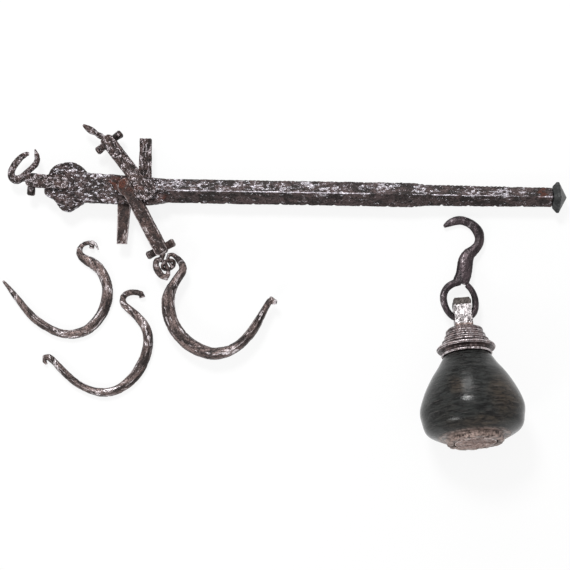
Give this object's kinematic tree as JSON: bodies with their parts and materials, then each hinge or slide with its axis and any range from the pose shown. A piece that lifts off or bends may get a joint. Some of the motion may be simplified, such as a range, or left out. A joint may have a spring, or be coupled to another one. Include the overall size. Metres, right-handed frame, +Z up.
{
  "type": "beam balance",
  "caption": "Old forged iron steelyard laid flat: notched beam with two suspension forks, load clevis, large hooks and a bronze poise on its own hook.",
  "frame": {"origin": "middle of the laid-out object, on the surface it lies on", "axes": "+X along the beam from its head to its end cap, +Y across it towards the upper fork, +Z up from the table"},
  "size_m": [0.4522, 0.2548, 0.0808],
  "materials": {
    "forged_iron": "pitted dark iron with worn pale ridges",
    "worn_iron": "worn iron",
    "dark_bronze": "glossy dark patina with turning marks",
    "pale_bronze": "pale worn metal",
    "lead": "dull cast lead"
  },
  "bodies": {
    "beam_body": {"beam": "forged_iron", "end_cap": "forged_iron", "upper_tongue": "forged_iron", "lower_tongue": "forged_iron", "upper_pivot_pin": "worn_iron", "lower_pivot_pin": "worn_iron", "load_pivot_pin": "worn_iron"},
    "upper_fork": {"upper_fork_front_cheek": "forged_iron", "upper_fork_back_cheek": "forged_iron", "upper_fork_crosshead": "forged_iron", "upper_fork_front_rivet": "worn_iron", "upper_fork_back_rivet": "worn_iron"},
    "hook_stub": {"upper_hook_stub": "forged_iron"},
    "lower_fork": {"lower_fork_front_cheek": "forged_iron", "lower_fork_back_cheek": "forged_iron", "lower_fork_crosshead": "forged_iron", "lower_fork_front_rivet": "worn_iron", "lower_fork_back_rivet": "worn_iron"},
    "swivel_ring": {"lower_swivel_ring": "forged_iron"},
    "link": {"link_ring": "forged_iron"},
    "hanging_hook": {"suspension_hook": "forged_iron"},
    "load_clevis": {"load_clevis_front_cheek": "forged_iron", "load_clevis_back_cheek": "forged_iron", "load_clevis_crosshead": "forged_iron", "load_clevis_front_rivet": "worn_iron", "load_clevis_back_rivet": "worn_iron"},
    "clevis_ring": {"end_ring": "forged_iron"},
    "hook_a": {"loose_hook_a": "forged_iron"},
    "hook_b": {"loose_hook_b": "forged_iron"},
    "poise": {"poise_shell": "dark_bronze", "poise_lead_core": "lead", "poise_neck": "pale_bronze", "poise_eye": "pale_bronze"},
    "poise_crook": {"poise_hook": "forged_iron"}
  },
  "joints": [
    {"name": "upper_fork_pivot", "type": "hinge", "parent": "beam_body", "child": "upper_fork", "pos_m": [-0.11061, 0.07504, 0.0127], "axis": [0, 0, 1], "range_deg": [-95, 18]},
    {"name": "hook_stub_swivel", "type": "hinge", "parent": "upper_fork", "child": "hook_stub", "pos_m": [-0.1408, 0.113, 0.0127], "axis": [-0.6225, 0.7826, 0], "continuous": true},
    {"name": "lower_fork_pivot", "type": "hinge", "parent": "beam_body", "child": "lower_fork", "pos_m": [-0.12491, 0.07694, 0.0127], "axis": [0, 0, 1], "range_deg": [-34, 18]},
    {"name": "swivel_ring_turn", "type": "hinge", "parent": "lower_fork", "child": "swivel_ring", "pos_m": [-0.09808, 0.02835, 0.0127], "axis": [0.4833, -0.8755, 0], "range_deg": [0, 80]},
    {"name": "link_ring_swing", "type": "hinge", "parent": "swivel_ring", "child": "link", "pos_m": [-0.09324, 0.01503, 0.0127], "axis": [0.4833, -0.8755, 0], "range_deg": [0, 45]},
    {"name": "hanging_hook_swing", "type": "hinge", "parent": "link", "child": "hanging_hook", "pos_m": [-0.09009, 0.01677, 0.0127], "axis": [-0.8755, -0.4833, 0], "range_deg": [0, 45]},
    {"name": "load_clevis_pivot", "type": "hinge", "parent": "beam_body", "child": "load_clevis", "pos_m": [-0.17761, 0.07984, 0.0127], "axis": [0, 0, 1], "range_deg": [-20, 40]},
    {"name": "clevis_ring_swivel", "type": "hinge", "parent": "load_clevis", "child": "clevis_ring", "pos_m": [-0.20183, 0.08179, 0.0127], "axis": [0.9968, -0.0802, 0], "range_deg": [0, 30]},
    {"name": "hook_a_lift", "type": "slide", "parent": "beam_body", "child": "hook_a", "axis": [0, 0, 1], "range_m": [0, 0.12]},
    {"name": "hook_b_lift", "type": "slide", "parent": "beam_body", "child": "hook_b", "axis": [0, 0, 1], "range_m": [0, 0.12]},
    {"name": "poise_travel", "type": "slide", "parent": "beam_body", "child": "poise", "axis": [1, 0, 0], "range_m": [-0.085, 0.03]},
    {"name": "poise_hook_swing", "type": "hinge", "parent": "poise", "child": "poise_crook", "pos_m": [0.14439, -0.02146, 0.01336], "axis": [0.9969, 0.0785, 0], "range_deg": [0, 110]}
  ]
}
